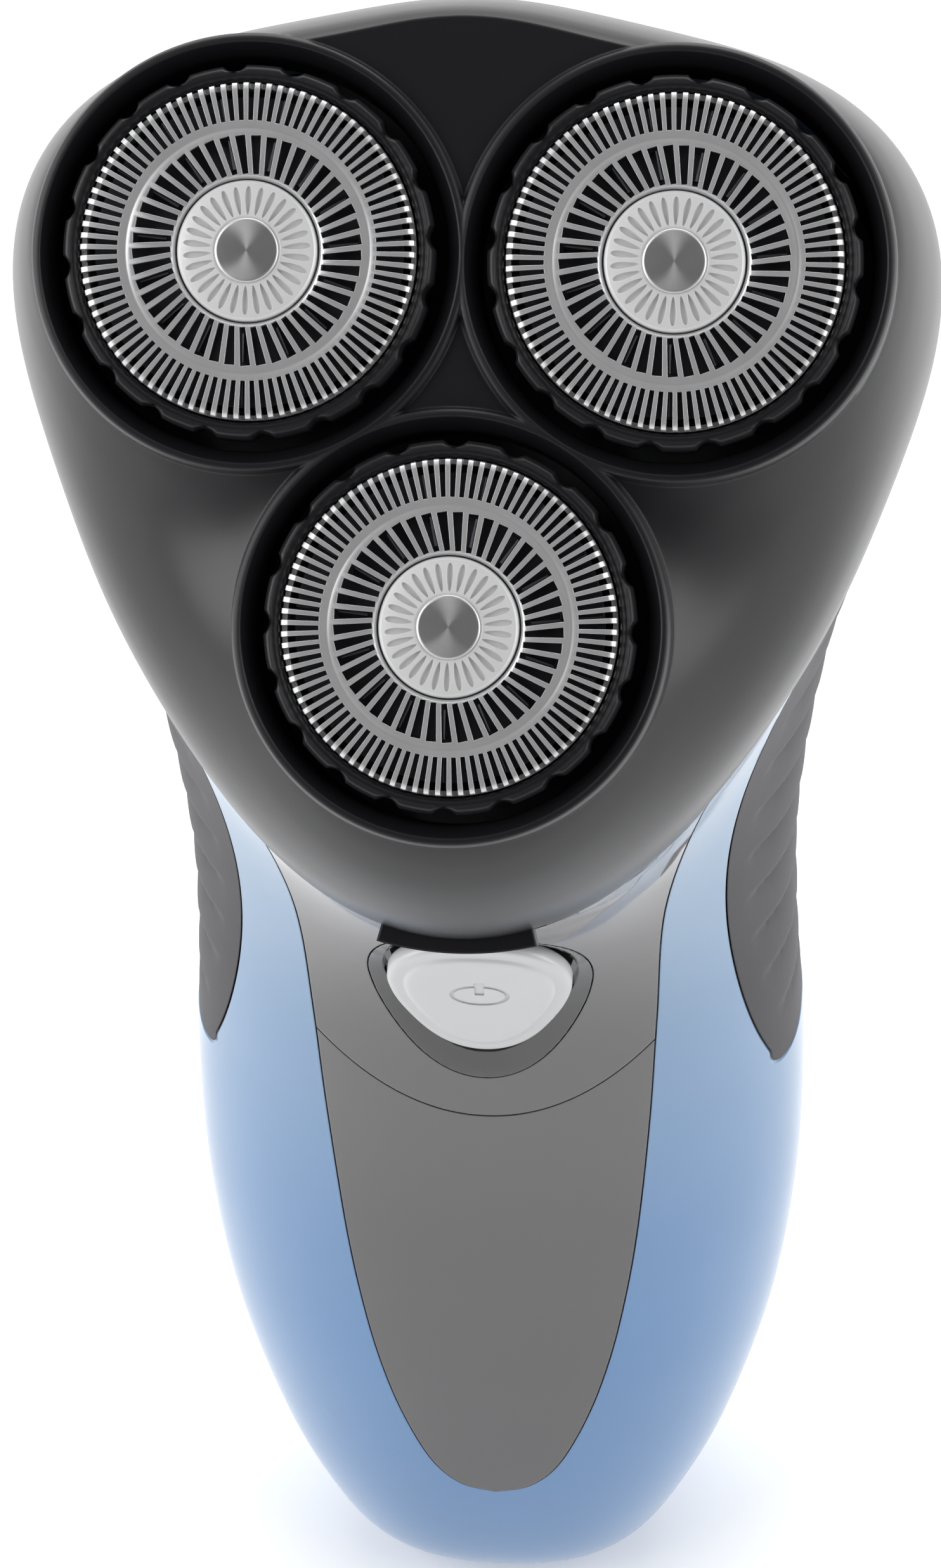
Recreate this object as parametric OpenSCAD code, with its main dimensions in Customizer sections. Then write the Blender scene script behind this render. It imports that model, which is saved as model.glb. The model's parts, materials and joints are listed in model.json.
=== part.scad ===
// Rotary electric shaver with three floating heads.
// Millimetres. Origin at the centre of the flat base, Z up the handle,
// the power button faces -Y.

/* [Head] */
// height of the head centre above the base
head_z = 143; // [138:0.5:148]
// set-back of the head centre from the base centre
head_y = -13.5; // [-16:0.5:-10]
// lean of the shaving face towards the front, degrees
head_lean = 43; // [35:1:50]
// distance from the head centre to each shaving head
head_radius = 16.8; // [16:0.1:18]
// depth of the flat deck below the guards
deck_depth = 2; // [1.5:0.1:3]
// depth of the joint between head unit and handle
part_depth = 21; // [19:0.5:23]

/* [Shaving heads] */
// radius of a metal guard
guard_r = 11.5; // [11:0.1:12]
// sheet thickness of a guard
guard_t = 0.35; // [0.25:0.05:0.6]
// slots in the outer shaving track
outer_slots = 45; // [30:1:90]
// slots in the inner shaving track
inner_slots = 30; // [15:1:45]
// width of a slot
slot_w = 0.4; // [0.2:0.05:0.6]
// radius of the black holder around a guard
holder_r = 12.8; // [12.4:0.1:13]
// bore of a well in the head cover
well_r = 13.5; // [13.4:0.1:14]
// radius of the raised rim of a well
rim_r = 15; // [14.5:0.1:15.5]
// blades on one rotary cutter
blades = 15; // [9:1:18]
// downward float of a shaving head
float_travel = 1.5; // [0.5:0.1:2]

/* [Handle] */
// wall of the handle shells
wall = 1.8; // [1.4:0.1:2.4]
// thickness of panels and grips set into the shells
inlay = 1.2; // [0.8:0.1:1.6]
// gap around each inlay
gap = 0.06; // [0.03:0.01:0.2]
// centre height of the power button
button_z = 79.2; // [76:0.1:84]
// surface depth at the power button
button_y = -13.55; // [-15:0.05:-12]
// lean of the power button face, degrees
button_lean = 10.5; // [6:0.5:14]
// mean radius of the power button outline
button_r = 7; // [6.5:0.1:8]
// width of the gloss ring around the power button
bezel_w = 1.6; // [1.2:0.1:2]
// travel of the power button
button_travel = 0.8; // [0.4:0.1:1.2]

/* [Drive] */
// gear tooth module
tooth = 0.6; // [0.5:0.1:0.8]
// teeth on the motor pinion
pinion_teeth = 20; // [16:1:24]
// teeth on each drive gear
gear_teeth = 36; // [32:1:40]
// thickness of a gear
gear_t = 2.4; // [2:0.1:3]
// radius of the motor can
motor_r = 8; // [7:0.5:9]
// length of the motor can
motor_len = 12; // [10:0.5:13]
// radius of a drive spindle
spindle_r = 1.5; // [1.2:0.1:2]
// running clearance in the bearings
run = 0.06; // [0.02:0.01:0.1]

/* [Power] */
// radius of the battery cell
cell_r = 8; // [7:0.5:9]
// length of the battery cell
cell_len = 50; // [45:1:55]
// set-back of the charging inlet from the base centre
inlet_y = -5.2; // [-6:0.1:-5]
// spacing of the two charging pins
pin_pitch = 8.6; // [8:0.1:9]
// radius of a charging pin
pin_r = 1.2; // [1:0.1:1.3]

/* [Hidden] */
$fn = 64;

black = "#1b1b1d";
blue = "#8fb2d9";
panel_grey = "#5d595b";
rubber_grey = "#565457";
steel = "#b9bcc0";
satin = "#cdcfd2";

head_angles = [-90, 30, 150];
ring_n = 56;
egg_w = 33.17;
egg_d = 33.53;
egg_shift = 5.38;
deck_n = -deck_depth;
part_n = -part_depth;
body_n = part_n - 0.4;
hinge_u = 25.8;
hinge_n = part_n - 0.4;
pivot_n = -6.2;
gear_n = part_n - 5;

// handle sections: front y, front z, back y, back z, half width, roundness towards the head outline
SECTIONS = [
    [-9.6, 0, 10.9, 0, 11.2, 0],
    [-13.2, 1, 12.8, 1.2, 12.9, 0],
    [-16.2, 3.4, 14, 4, 14.8, 0],
    [-17.9, 8, 15.1, 9, 17, 0],
    [-18, 16, 16.5, 18, 20.3, 0],
    [-16.7, 28, 17.8, 30, 23.4, 0],
    [-14.9, 40, 18.6, 43, 24.9, 0],
    [-13.3, 52, 19.1, 56, 25.1, 0],
    [-12.7, 64, 19.7, 70, 24.4, 0],
    [-12.9, 75, 20.4, 84, 24.1, 0.05],
    [-14.6, 84, 21.6, 98, 24.8, 0.15],
    [-17.6, 91, 23.2, 111, 26.3, 0.35],
    [-21.4, 96, 24.2, 122, 28.2, 0.6],
    [-25.2, 99.4, 24, 134, 30.8, 0.85],
    [-27.7, 101, 21.4, 146.9, 33, 1],
    [-29.1, 102.2, 19.3, 149.1, 33, 1]];

// head cover levels: depth, shrink of the outline, further shrink between the front and side heads
LEVELS = [[-21, 0, 0], [-17, 0.2, 0], [-13, 0.8, 0.3], [-9.5, 1.8, 1.2], [-6.5, 3, 3.2], [-4.2, 4.3, 6],
    [-2.8, 5.4, 9], [-2, 6.4, 12]];

function smooth(a, b, c, d, t) =
    0.5 * (2 * b + (c - a) * t + (2 * a - 5 * b + 4 * c - d) * t * t + (3 * b - a - 3 * c + d) * t * t * t);
function egg(p) =
    32.38 - 2.18 * sin(p) - 0.3 * cos(2 * p) + 3.41 * sin(3 * p) + 0.31 * cos(4 * p)
    + 0.21 * sin(5 * p) - 0.54 * cos(6 * p);
function power(v, e) = sign(v) * pow(abs(v), e);
function mix(a, b, t) = a * (1 - t) + b * t;
function ring_x(p, b) = mix(power(cos(p), 0.8), egg(p) * cos(p) / egg_w, b);
function ring_v(p, b) = mix(power(sin(p), 0.8), (egg(p) * sin(p) + egg_shift) / egg_d, b);
function section(k) =
    let (i = floor(k), t = k - i, n = len(SECTIONS))
    smooth(SECTIONS[max(i - 1, 0)], SECTIONS[min(i, n - 1)], SECTIONS[min(i + 1, n - 1)],
        SECTIONS[min(i + 2, n - 1)], t);
function ring(s, o) =
    let (f = [s[0], s[1]], b = [s[2], s[3]], h = norm(b - f) / 2, e = (b - f) / (2 * h), c = (f + b) / 2)
    [for (j = [0 : ring_n - 1])
        let (p = 360 * j / ring_n, v = (h - o) * ring_v(p, s[5]))
        [(s[4] - o) * ring_x(p, s[5]), c[0] + v * e[0], c[1] + v * e[1]]];
function level(l) =
    [for (j = [0 : ring_n - 1])
        let (p = 360 * j / ring_n, gulf = pow((1 + cos(3 * p - 270)) / 2, 2) * (1 - sin(p)) / 1.5,
            r = egg(p) - l[1] * (0.5 + 0.75 * pow((1 - sin(p)) / 2, 1.5)) - l[2] * gulf)
        [r * cos(p), r * sin(p), l[0]]];
function flat(lists) = [for (a = lists) for (b = a) b];
function skins(m) = concat([[for (j = [0 : ring_n - 1]) j]],
    [for (i = [0 : m - 2]) for (j = [0 : ring_n - 1]) [i * ring_n + j, (i + 1) * ring_n + j,
        i * ring_n + (j + 1) % ring_n]],
    [for (i = [0 : m - 2]) for (j = [0 : ring_n - 1]) [i * ring_n + (j + 1) % ring_n,
        (i + 1) * ring_n + j, (i + 1) * ring_n + (j + 1) % ring_n]],
    [[for (j = [ring_n - 1 : -1 : 0]) (m - 1) * ring_n + j]]);

module loft(rings) polyhedron(points = flat(rings), faces = skins(len(rings)), convexity = 8);
module handle_form(o, step) loft([for (k = [0 : step : len(SECTIONS) - 1]) ring(section(k), o)]);
module head_form(o)
    loft([for (l = LEVELS) level([l[0] - (l[0] > part_n ? o * 0.8 : -0.01), l[1] + o, l[2]])]);
module in_head() translate([0, head_y, head_z]) rotate([head_lean, 0, 0]) children();
module at_head(i) in_head() rotate(head_angles[i]) translate([head_radius, 0, 0]) children();
module in_button() translate([0, button_y, button_z]) rotate([90 + button_lean, 0, 0]) children();
module above(n) in_head() translate([-60, -60, n]) cube([120, 120, 80]);
module front_half(o) translate([-60, -80, -5]) cube([120, 82.5 - o, 200]);
module back_half(o) translate([-60, 2.5 + o, -5]) cube([120, 80, 200]);
module tube(r, bore, n0, n1) translate([0, 0, n0]) difference() {
    cylinder(r = r, h = n1 - n0);
    translate([0, 0, -1]) cylinder(r = bore, h = n1 - n0 + 2);
}
module disc(r, n0, n1) translate([0, 0, n0]) cylinder(r = r, h = n1 - n0);
module stadium(r, z0, z1) translate([0, inlet_y, z0]) union() {
    for (x = [-0.5, 0.5]) translate([x * (pin_pitch - 1), 0, 0]) cylinder(r = r, h = z1 - z0);
    translate([(1 - pin_pitch) / 2, -r, 0]) cube([pin_pitch - 1, 2 * r, z1 - z0]);
}
module egg_plate(s, n0, n1, push = 0) translate([0, push, n0]) linear_extrude(n1 - n0)
    polygon([for (p = [0 : 7.5 : 352.5]) s * egg(p) * [cos(p), sin(p)]]);
// rounded triangle, its lower half stretched
module pick(r, h, low = 1.25, corner = 0.075) linear_extrude(h)
    polygon([for (p = [0 : 7.5 : 352.5])
        r * (1 + corner * cos(3 * (p + 90))) * [cos(p), sin(p) * (p > 180 ? low : 1)]]);
module bezel_zone(g, n0) in_button() translate([0, 0, n0]) pick(button_r + bezel_w + g, 14, 1.36, 0.05);

// outlines seen from the front
PANEL = [[0, 17], [2.9, 17.8], [5.2, 20.1], [7.2, 24.3], [9, 29.8], [10.6, 37], [12, 47], [13, 60],
    [13.6, 73],
    [14.3, 88], [17, 104], [18.6, 112]];
module panel_outline(g) rotate([90, 0, 0]) linear_extrude(60)
    polygon(concat([for (p = PANEL) [max(p[0] - g, 0), p[1] + g]],
        [for (i = [len(PANEL) - 1 : -1 : 1]) [g - PANEL[i][0], PANEL[i][1] + g]]));
module seam_zone(g, up) rotate([90, 0, 0]) linear_extrude(60)
    polygon(concat([for (x = [-20 : 2 : 20]) [x, 62.1 + 0.046 * x * x + g]],
        [[20, up], [-20, up]]));
grip_low = 59.5;
grip_top = 122;
rib_pitch = 5.7;
function grip_edge(z) = 18.7 + 0.0064 * pow(z - 86, 2);
module grip_zone(s, g) rotate([90, 0, 0]) translate([0, 0, -60]) linear_extrude(120)
    polygon(concat([for (z = [62 : 4 : grip_top - 4]) [s * (grip_edge(z) + g), z]],
        [[s * (grip_edge(grip_top) + g), grip_top - g], [s * 50, grip_top - g], [s * 50, grip_low + g],
        [s * (24.2 + g), grip_low + g]]));
module grip_ribs(s) for (i = [0 : 9]) translate([s * 34, 0, 65.3 + rib_pitch * i]) rotate([-3, 0, 0])
    cube([24, 90, 1.2], center = true);

// ---- handle ----
module grip_bed(s) intersection() {
    difference() {
        handle_form(-1, 1);
        handle_form(inlay, 1);
    }
    grip_zone(s, 0);
}
module panel_bed() intersection() {
    difference() {
        handle_form(-1, 1);
        handle_form(inlay, 1);
    }
    panel_outline(0);
}
module shell_half() difference() {
    handle_form(0, 1);
    intersection() {
        handle_form(wall + inlay, 1);
        translate([-60, -60, wall]) cube([120, 120, 200]);
    }
    above(body_n);
    grip_bed(1);
    grip_bed(-1);
    in_head() translate([-10.6, hinge_u, hinge_n]) rotate([0, 90, 0]) cylinder(r = 2.7, h = 21.2, $fn = 24);
    in_head() translate([-15.5, hinge_u, hinge_n]) rotate([0, 90, 0]) cylinder(r = 1.7, h = 31, $fn = 24);
    in_head() egg_plate(0.9, body_n - 1.7, body_n + 1);
    for (i = [0 : 2]) at_head(i) disc(gear_teeth * tooth / 2 + 1.1, gear_n - 0.5, body_n);
    stadium(3.56, -1, 11);
}
module front_shell() color(blue) resize([0, 0, 0]) difference() {
    shell_half();
    back_half(0);
    panel_bed();
    bezel_zone(0, -8);
}
module back_shell() color(blue) resize([0, 0, 0]) difference() {
    shell_half();
    front_half(0);
}
module panel_skin() difference() {
    intersection() {
        handle_form(0, 1);
        panel_outline(gap);
    }
    handle_form(inlay - gap, 1);
    above(body_n - 0.2);
}
module upper_panel() color(panel_grey) resize([0, 0, 0]) difference() {
    intersection() {
        panel_skin();
        seam_zone(0.06, 120);
    }
    bezel_zone(gap, -8);
}
module lower_panel() color(panel_grey) resize([0, 0, 0]) difference() {
    panel_skin();
    seam_zone(-0.06, 120);
}
module grip(s) resize([0, 0, 0]) difference() {
    intersection() {
        handle_form(0.05, 1);
        grip_zone(s, gap);
    }
    above(body_n - 0.2);
    handle_form(inlay - gap, 1);
    difference() {
        grip_ribs(s);
        handle_form(0.6, 1);
    }
}
module grip_left() color(rubber_grey) grip(-1);
module grip_right() color(rubber_grey) grip(1);
module button_bezel() color(black) resize([0, 0, 0]) difference() {
    intersection() {
        handle_form(0.1, 1);
        bezel_zone(-gap, -2.6);
    }
    in_button() translate([0, 0, -1.5]) pick(button_r + 0.25, 9);
    in_button() translate([0, 0, -4]) cylinder(r = 2.5, h = 6);
}
module power_button() color(satin) in_button() union() {
    translate([0, 0, -0.6]) pick(button_r, 1.3);
    translate([0, 0, 0.6]) pick(button_r * 0.8, 0.35, 1.34);
    translate([0, 0, -4.3]) cylinder(r = 2, h = 4);
}

// ---- inside the handle ----
module chassis() color("#3a3d42") difference() {
    union() {
        translate([-17, -4.2, 22]) cube([34, 1.6, 68]);
        translate([-9, -3, 18]) cube([18, 14.5, 3]);
        translate([-9, -3, 72.4]) cube([18, 14.5, 2]);
        translate([-10.3, -3, 22]) cube([1.6, 14, 51]);
        translate([8.7, -3, 22]) cube([1.6, 14, 51]);
    }
    for (z = [27, 84]) for (x = [-13.6, 13.6]) translate([x, 0, z]) rotate([90, 0, 0])
        cylinder(r = 1.1, h = 12, center = true, $fn = 24);
}
module battery_cell() color("#3f7f5a") translate([0, 5.4, 21.5]) union() {
    cylinder(r = cell_r - 0.1, h = cell_len - 1);
    cylinder(r = 3, h = cell_len);
}
module battery_contacts() color("#c9a14a") union() {
    translate([-4, 3, 21.05]) cube([8, 6, 0.4]);
    translate([-4, 3, 71.6]) cube([8, 6, 0.5]);
}
module circuit_board() color("#2f6b45") difference() {
    translate([-14.5, -6, 24]) cube([29, 1.5, 64]);
    for (z = [27, 84]) for (x = [-13.6, 13.6]) translate([x, 0, z]) rotate([90, 0, 0])
        cylinder(r = 1.3, h = 16, center = true, $fn = 24);
}
module tact_switch() color("#202022") union() {
    translate([-3, -7.7, 75.3]) cube([6, 1.65, 6]);
    translate([0, -7.6, 78.3]) rotate([90, 0, 0]) cylinder(r = 1.6, h = 0.35);
}
module charge_socket() color(black) difference() {
    stadium(3.5, 0, 10.5);
    stadium(2.9, -1, 7.5);
    for (x = [-0.5, 0.5]) translate([x * pin_pitch, inlet_y, 4]) cylinder(r = pin_r - 0.18, h = 9);
}
module socket_pins() color(steel) for (x = [-0.5, 0.5]) translate([x * pin_pitch, inlet_y, 1])
    union() {
        cylinder(r = pin_r, h = 6.4);
        cylinder(r = pin_r - 0.2, h = 11);
    }
module shell_screws() color(steel) for (z = [27, 84]) for (x = [-13.6, 13.6]) translate([x, -6.05, z])
    rotate([-90, 0, 0]) union() {
        cylinder(r = 1, h = 6, $fn = 24);
        translate([0, 0, -0.9]) cylinder(r = 1.9, h = 0.9, $fn = 24);
    }
module body_deck() color(black) in_head() difference() {
    egg_plate(0.895, body_n - 1.6, body_n);
    for (a = head_angles) rotate(a) translate([head_radius, 0, -40]) cylinder(r = spindle_r + run, h = 40);
    translate([-10.8, hinge_u - 2.8, hinge_n - 4]) cube([21.6, 8, 8]);
    rotate(-90) translate([30, -3, -30]) cube([3.2, 6, 20]);
}
module deck_seal() color(rubber_grey) in_head() for (a = head_angles) rotate(a)
    translate([head_radius, 0, 0]) tube(3.4, spindle_r + 0.3, body_n, body_n + 0.4);
module gearbox_base() color("#45484e") in_head() difference() {
    union() {
        egg_plate(0.76, gear_n - 2.4, gear_n - 0.6, -2.4);
        for (p = [90, -30, 210]) rotate(p) translate([17.2, 0, gear_n - 0.7])
            cylinder(r = 1.6, h = body_n - 1.6 - gear_n + 0.7);
    }
    for (a = head_angles) rotate(a) translate([head_radius, 0, gear_n - 1.8])
        cylinder(r = spindle_r + run, h = 6);
    translate([0, 0, -60]) cylinder(r = 2.6, h = 60);
}
module motor_case() color(steel) in_head() difference() {
    disc(motor_r, gear_n - 2.4 - motor_len, gear_n - 2.4);
    disc(motor_r - 0.8, gear_n - 1.6 - motor_len, gear_n - 3.2);
    translate([0, 0, -60]) cylinder(r = 2, h = 60);
}
module motor_cap() color("#e5e2da") in_head()
    tube(4.5, 2.2, gear_n - 3.4 - motor_len, gear_n - 2.4 - motor_len);
module motor_rotor() color("#a8744a") in_head() union() {
    disc(1, gear_n - 3.2 - motor_len, gear_n + gear_t);
    disc(5.6, gear_n - 1 - motor_len, gear_n - 5);
}
module gear(teeth, bore, phase) let (pr = teeth * tooth / 2, q = 360 / teeth)
    difference() {
        linear_extrude(gear_t) polygon([for (i = [0 : teeth - 1]) for (k = [[-0.34, -1.2], [-0.12, 0.8],
            [0.12, 0.8], [0.34, -1.2]]) let (p = phase + (i + k[0]) * q, r = pr + k[1] * tooth)
            [r * cos(p), r * sin(p)]]);
        translate([0, 0, -1]) cylinder(r = bore, h = gear_t + 2);
    }
module drive_pinion() color("#d8d4c8") in_head() translate([0, 0, gear_n]) gear(pinion_teeth, 1.01, 0);
module drive_gear(i) let (a = head_angles[i], f = pinion_teeth * a / 360 - floor(pinion_teeth * a / 360))
    at_head(i) translate([0, 0, gear_n])
        gear(gear_teeth, spindle_r + 0.01, 180 + (0.5 + f) * 360 / gear_teeth);
module drive_gear_1() color("#e8e4d8") drive_gear(0);
module drive_gear_2() color("#e8e4d8") drive_gear(1);
module drive_gear_3() color("#e8e4d8") drive_gear(2);
module drive_spindle(i) at_head(i) union() {
    disc(spindle_r, gear_n - 1.7, part_n + 1);
    translate([0, 0, part_n + 0.9]) cylinder(r = 1.6, h = 2.3, $fn = 6);
}
module drive_spindle_1() color(steel) drive_spindle(0);
module drive_spindle_2() color(steel) drive_spindle(1);
module drive_spindle_3() color(steel) drive_spindle(2);
module hinge_bracket() color(black) in_head() difference() {
    union() {
        translate([-5, hinge_u, hinge_n]) rotate([0, 90, 0]) cylinder(r = 1.8, h = 10);
        translate([-5, hinge_u - 2.8, hinge_n - 1.6]) cube([10, 2.8, 1.6]);
    }
    translate([-6, hinge_u, hinge_n]) rotate([0, 90, 0]) cylinder(r = 0.9, h = 12);
}
module hinge_pin() color(steel) in_head() translate([-9.7, hinge_u, hinge_n]) rotate([0, 90, 0])
    cylinder(r = 0.9, h = 19.4);

// ---- head unit ----
module wells(r, n0, n1) for (a = head_angles) rotate(a) translate([head_radius, 0, 0]) disc(r, n0, n1);
module head_cover() color(black) resize([0, 0, 0]) in_head() difference() {
    union() {
        head_form(0);
        for (a = head_angles) rotate(a) translate([head_radius, 0, -9])
            cylinder(r1 = rim_r + 0.55, r2 = rim_r, h = 7.6, $fn = 72);
    }
    difference() {
        head_form(1.8);
        wells(well_r + 1, -9, 0);
    }
    for (a = head_angles) rotate(a) translate([head_radius, 0, 0]) {
        translate([0, 0, -12]) cylinder(r = well_r, h = 14, $fn = 72);
        translate([0, 0, -2.5]) cylinder(r1 = well_r, r2 = well_r + 1.3, h = 1.3, $fn = 72);
    }
    translate([0, hinge_u, hinge_n]) rotate([0, 90, 0]) cylinder(r = 2.5, h = 20.4, center = true, $fn = 24);
    rotate(-90) translate([34, -6.4, part_n - 1]) cube([8, 12.8, 4.2]);
}
module head_hinge() color(black) in_head() for (s = [-1, 1]) difference() {
    union() {
        translate([s * 7.6 - 2.1, hinge_u, hinge_n]) rotate([0, 90, 0]) cylinder(r = 1.8, h = 4.2);
        translate([s * 7.6 - 2.1, hinge_u - 3.2, hinge_n + 0.5]) cube([4.2, 2.8, 4.5]);
    }
    translate([s * 7.6 - 4, hinge_u, hinge_n]) rotate([0, 90, 0]) cylinder(r = 0.9 + run, h = 8);
}
module head_latch() color(black) in_head() union() {
    rotate(-90) translate([16.8, 0, part_n + 0.2])
        rotate_extrude(angle = 29, start = -14.5) translate([17.4, 0])
        square([5.6, 2.7]);
    rotate(-90) translate([31.6, -2.4, part_n + 0.2]) cube([4, 4.8, 2.7]);
    rotate(-90) translate([31.6, -2.4, part_n - 1]) cube([1, 4.8, 2]);
}
module retaining_frame() color("#8b8f95") in_head() difference() {
    egg_plate(0.86, -15.6, -14);
    for (a = head_angles) rotate(a) translate([head_radius, 0, -30]) cylinder(r = 5.8, h = 30);
    translate([0, 0, -30]) cylinder(r = 2.06, h = 30);
}
module lock_knob() color("#c4c7cb") in_head() union() {
    disc(2, -17, -13.2);
    disc(5.2, -17.2, -15.6);
    translate([-4, -0.7, -18.8]) cube([8, 1.4, 1.8]);
}
module carrier(i) at_head(i) difference() {
    union() {
        disc(11.6, -9.6, -8.2);
        disc(5.6, -18, -9);
        for (s = [-1, 1]) translate([-1.6, s * 9.3 - 0.5, -8.4]) cube([3.2, 1, 3.4]);
    }
    translate([0, 0, -20]) cylinder(r = 4.8, h = 20);
    translate([0, 12, pivot_n]) rotate([90, 0, 0]) cylinder(r = 0.7 + run, h = 24, $fn = 32);
}
module carrier_1() color("#2c2d30") carrier(0);
module carrier_2() color("#2c2d30") carrier(1);
module carrier_3() color("#2c2d30") carrier(2);
module holder(i) at_head(i) union() {
    holder_ring();
    for (s = [-1, 1]) translate([-1.2, s * 10.7 - 0.5, pivot_n - 1]) cube([2.4, 1, 2.2]);
    for (s = [-1, 1]) translate([0, s * 9.8 + 1, pivot_n]) rotate([90, 0, 0])
        cylinder(r = 0.7, h = 2, $fn = 32);
}
module holder_ring() rotate_extrude() polygon([[9.4, -4.6], [holder_r - 0.4, -4.6], [holder_r, -4.2],
    [holder_r, -1.1], [holder_r - 0.35, -0.7], [guard_r + 0.5, -0.9], [guard_r + 0.06, -1.4],
    [guard_r + 0.06, -3.9], [9.4, -3.9]]);
module holder_1() color(black) holder(0);
module holder_2() color(black) holder(1);
module holder_3() color(black) holder(2);
module guard(i) at_head(i) difference() {
    rotate_extrude() polygon([[4.6, -0.75], [4.9, -0.35], [5.3, -0.05], [7.9, 0], [8.3, -0.12], [8.7, 0],
        [guard_r - 0.5, 0], [guard_r, -0.5], [guard_r, -3.9], [guard_r - guard_t, -3.9],
        [guard_r - guard_t, -0.6], [guard_r - 0.7, -guard_t], [5.3, -guard_t - 0.05],
        [4.9, -1.1], [4.6, -1.1]]);
    for (k = [1 : outer_slots]) rotate(k * 360 / outer_slots) translate([8.9, -slot_w / 2, -1.8])
        cube([4, slot_w, 3]);
    for (k = [1 : inner_slots]) rotate(k * 360 / inner_slots) translate([5.4, -slot_w / 2, -1.2])
        cube([2.3, slot_w, 3]);
}
module guard_1() color(steel) guard(0);
module guard_2() color(steel) guard(1);
module guard_3() color(steel) guard(2);
module guard_cap(i) at_head(i) difference() {
    union() {
        rotate_extrude()
            polygon([[0, -1.1], [4.55, -1.1], [4.55, -0.6], [4.2, -0.25], [2.4, 0.05], [0, 0.05]]);
        disc(2.1, 0, 0.3);
    }
    for (k = [1 : 15]) rotate(24 * k) translate([3.4, 0, -0.1]) scale([2, 0.7, 1])
        cylinder(r = 0.4, h = 1, $fn = 16);
}
module guard_cap_1() color(steel) guard_cap(0);
module guard_cap_2() color(steel) guard_cap(1);
module guard_cap_3() color(steel) guard_cap(2);
module cutter(i) at_head(i) difference() {
    union() {
        tube(10.6, 5.4, -2.4, -1.7);
        disc(5.6, -2.4, -1.7);
        for (k = [1 : blades]) rotate(k * 360 / blades) {
            translate([8.9, -0.2, -1.8]) cube([1.6, 0.4, 1.36]);
            translate([5.6, -0.2, -1.8]) cube([2, 0.4, 1.36]);
        }
        disc(2.2, -16, -2.3);
        disc(3.7, part_n + 2, -14.6);
    }
    disc(3, part_n, -15.2);
}
module cutter_1() color(steel) cutter(0);
module cutter_2() color(steel) cutter(1);
module cutter_3() color(steel) cutter(2);

front_shell();
back_shell();
upper_panel();
lower_panel();
grip_left();
grip_right();
button_bezel();
chassis();
body_deck();
gearbox_base();
motor_case();
motor_cap();
battery_cell();
battery_contacts();
circuit_board();
tact_switch();
charge_socket();
socket_pins();
shell_screws();
hinge_bracket();
hinge_pin();
deck_seal();
power_button();
head_latch();
motor_rotor();
drive_pinion();
drive_gear_1();
drive_gear_2();
drive_gear_3();
drive_spindle_1();
drive_spindle_2();
drive_spindle_3();
head_cover();
head_hinge();
retaining_frame();
lock_knob();
carrier_1();
carrier_2();
carrier_3();
holder_1();
holder_2();
holder_3();
guard_1();
guard_2();
guard_3();
guard_cap_1();
guard_cap_2();
guard_cap_3();
cutter_1();
cutter_2();
cutter_3();
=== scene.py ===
"""Looks of the rotary electric shaver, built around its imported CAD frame.
Lengths are millimetres until a mesh is made."""

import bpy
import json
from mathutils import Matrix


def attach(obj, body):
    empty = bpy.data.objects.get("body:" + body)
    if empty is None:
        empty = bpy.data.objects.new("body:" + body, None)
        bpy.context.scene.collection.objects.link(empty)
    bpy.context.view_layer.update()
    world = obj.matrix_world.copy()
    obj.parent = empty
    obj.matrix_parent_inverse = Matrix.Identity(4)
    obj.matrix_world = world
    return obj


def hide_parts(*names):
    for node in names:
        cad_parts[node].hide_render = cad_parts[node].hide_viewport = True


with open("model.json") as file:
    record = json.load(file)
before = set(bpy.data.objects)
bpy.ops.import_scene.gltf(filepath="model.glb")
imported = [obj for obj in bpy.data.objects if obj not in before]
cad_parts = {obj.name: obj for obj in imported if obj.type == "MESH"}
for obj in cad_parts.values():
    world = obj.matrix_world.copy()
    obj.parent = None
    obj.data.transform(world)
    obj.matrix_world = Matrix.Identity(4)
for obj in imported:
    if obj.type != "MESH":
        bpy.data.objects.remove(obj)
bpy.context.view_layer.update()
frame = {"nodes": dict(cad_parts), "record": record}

import json
import math

import bpy
import bmesh
import numpy as np
from mathutils import Matrix, Vector

MM = 0.001

# ---- driving dimensions, the same as the CAD's ----
HEAD_Y, HEAD_Z, HEAD_LEAN = -13.5, 143.0, 43.0
HEAD_RADIUS = 16.8
HEAD_ANGLES = (-90, 30, 150)
PART_N, BODY_N = -21.0, -21.4
GUARD_R, HOLDER_R, WELL_R, RIM_R = 11.5, 12.8, 13.5, 15.0
INLAY, WALL = 1.2, 1.8
BUTTON_Y, BUTTON_Z, BUTTON_LEAN, BUTTON_R = -13.55, 79.2, 10.5, 7.0
# stretch of the lower half and bulge of the corners, for the button and for the ring round it
BUTTON_LOW, BUTTON_CORNER = 1.25, 0.075
BEZEL_W, BEZEL_LOW, BEZEL_CORNER = 1.6, 1.36, 0.05
GRIP_LOW, GRIP_TOP = 59.5, 122.0
# front edge of a grip: nearest to the middle at GRIP_MID, and bending away above and below it
GRIP_X, GRIP_MID, GRIP_BEND = 18.7, 86, 0.0064
# the first rib's foot, the ribs' pitch, depth and slope, and the share of the pitch in which a rib rises
RIB_START, RIB_PITCH, RIB_DEEP, RIB_SLOPE, RIB_RISE = 65.3, 5.7, 0.85, -0.052, 0.16
# seam across the panel: its height in the middle and how it bends up
SEAM_Z, SEAM_BEND = 62.1, 0.046
INLET_Y, INLET_R, PIN_PITCH = -5.2, 3.56, 8.6
GEAR_N, GEAR_R = -26.0, 11.9
SPLIT_Y = 2.5
HINGE_U, HINGE_N = 25.8, -21.4
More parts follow.
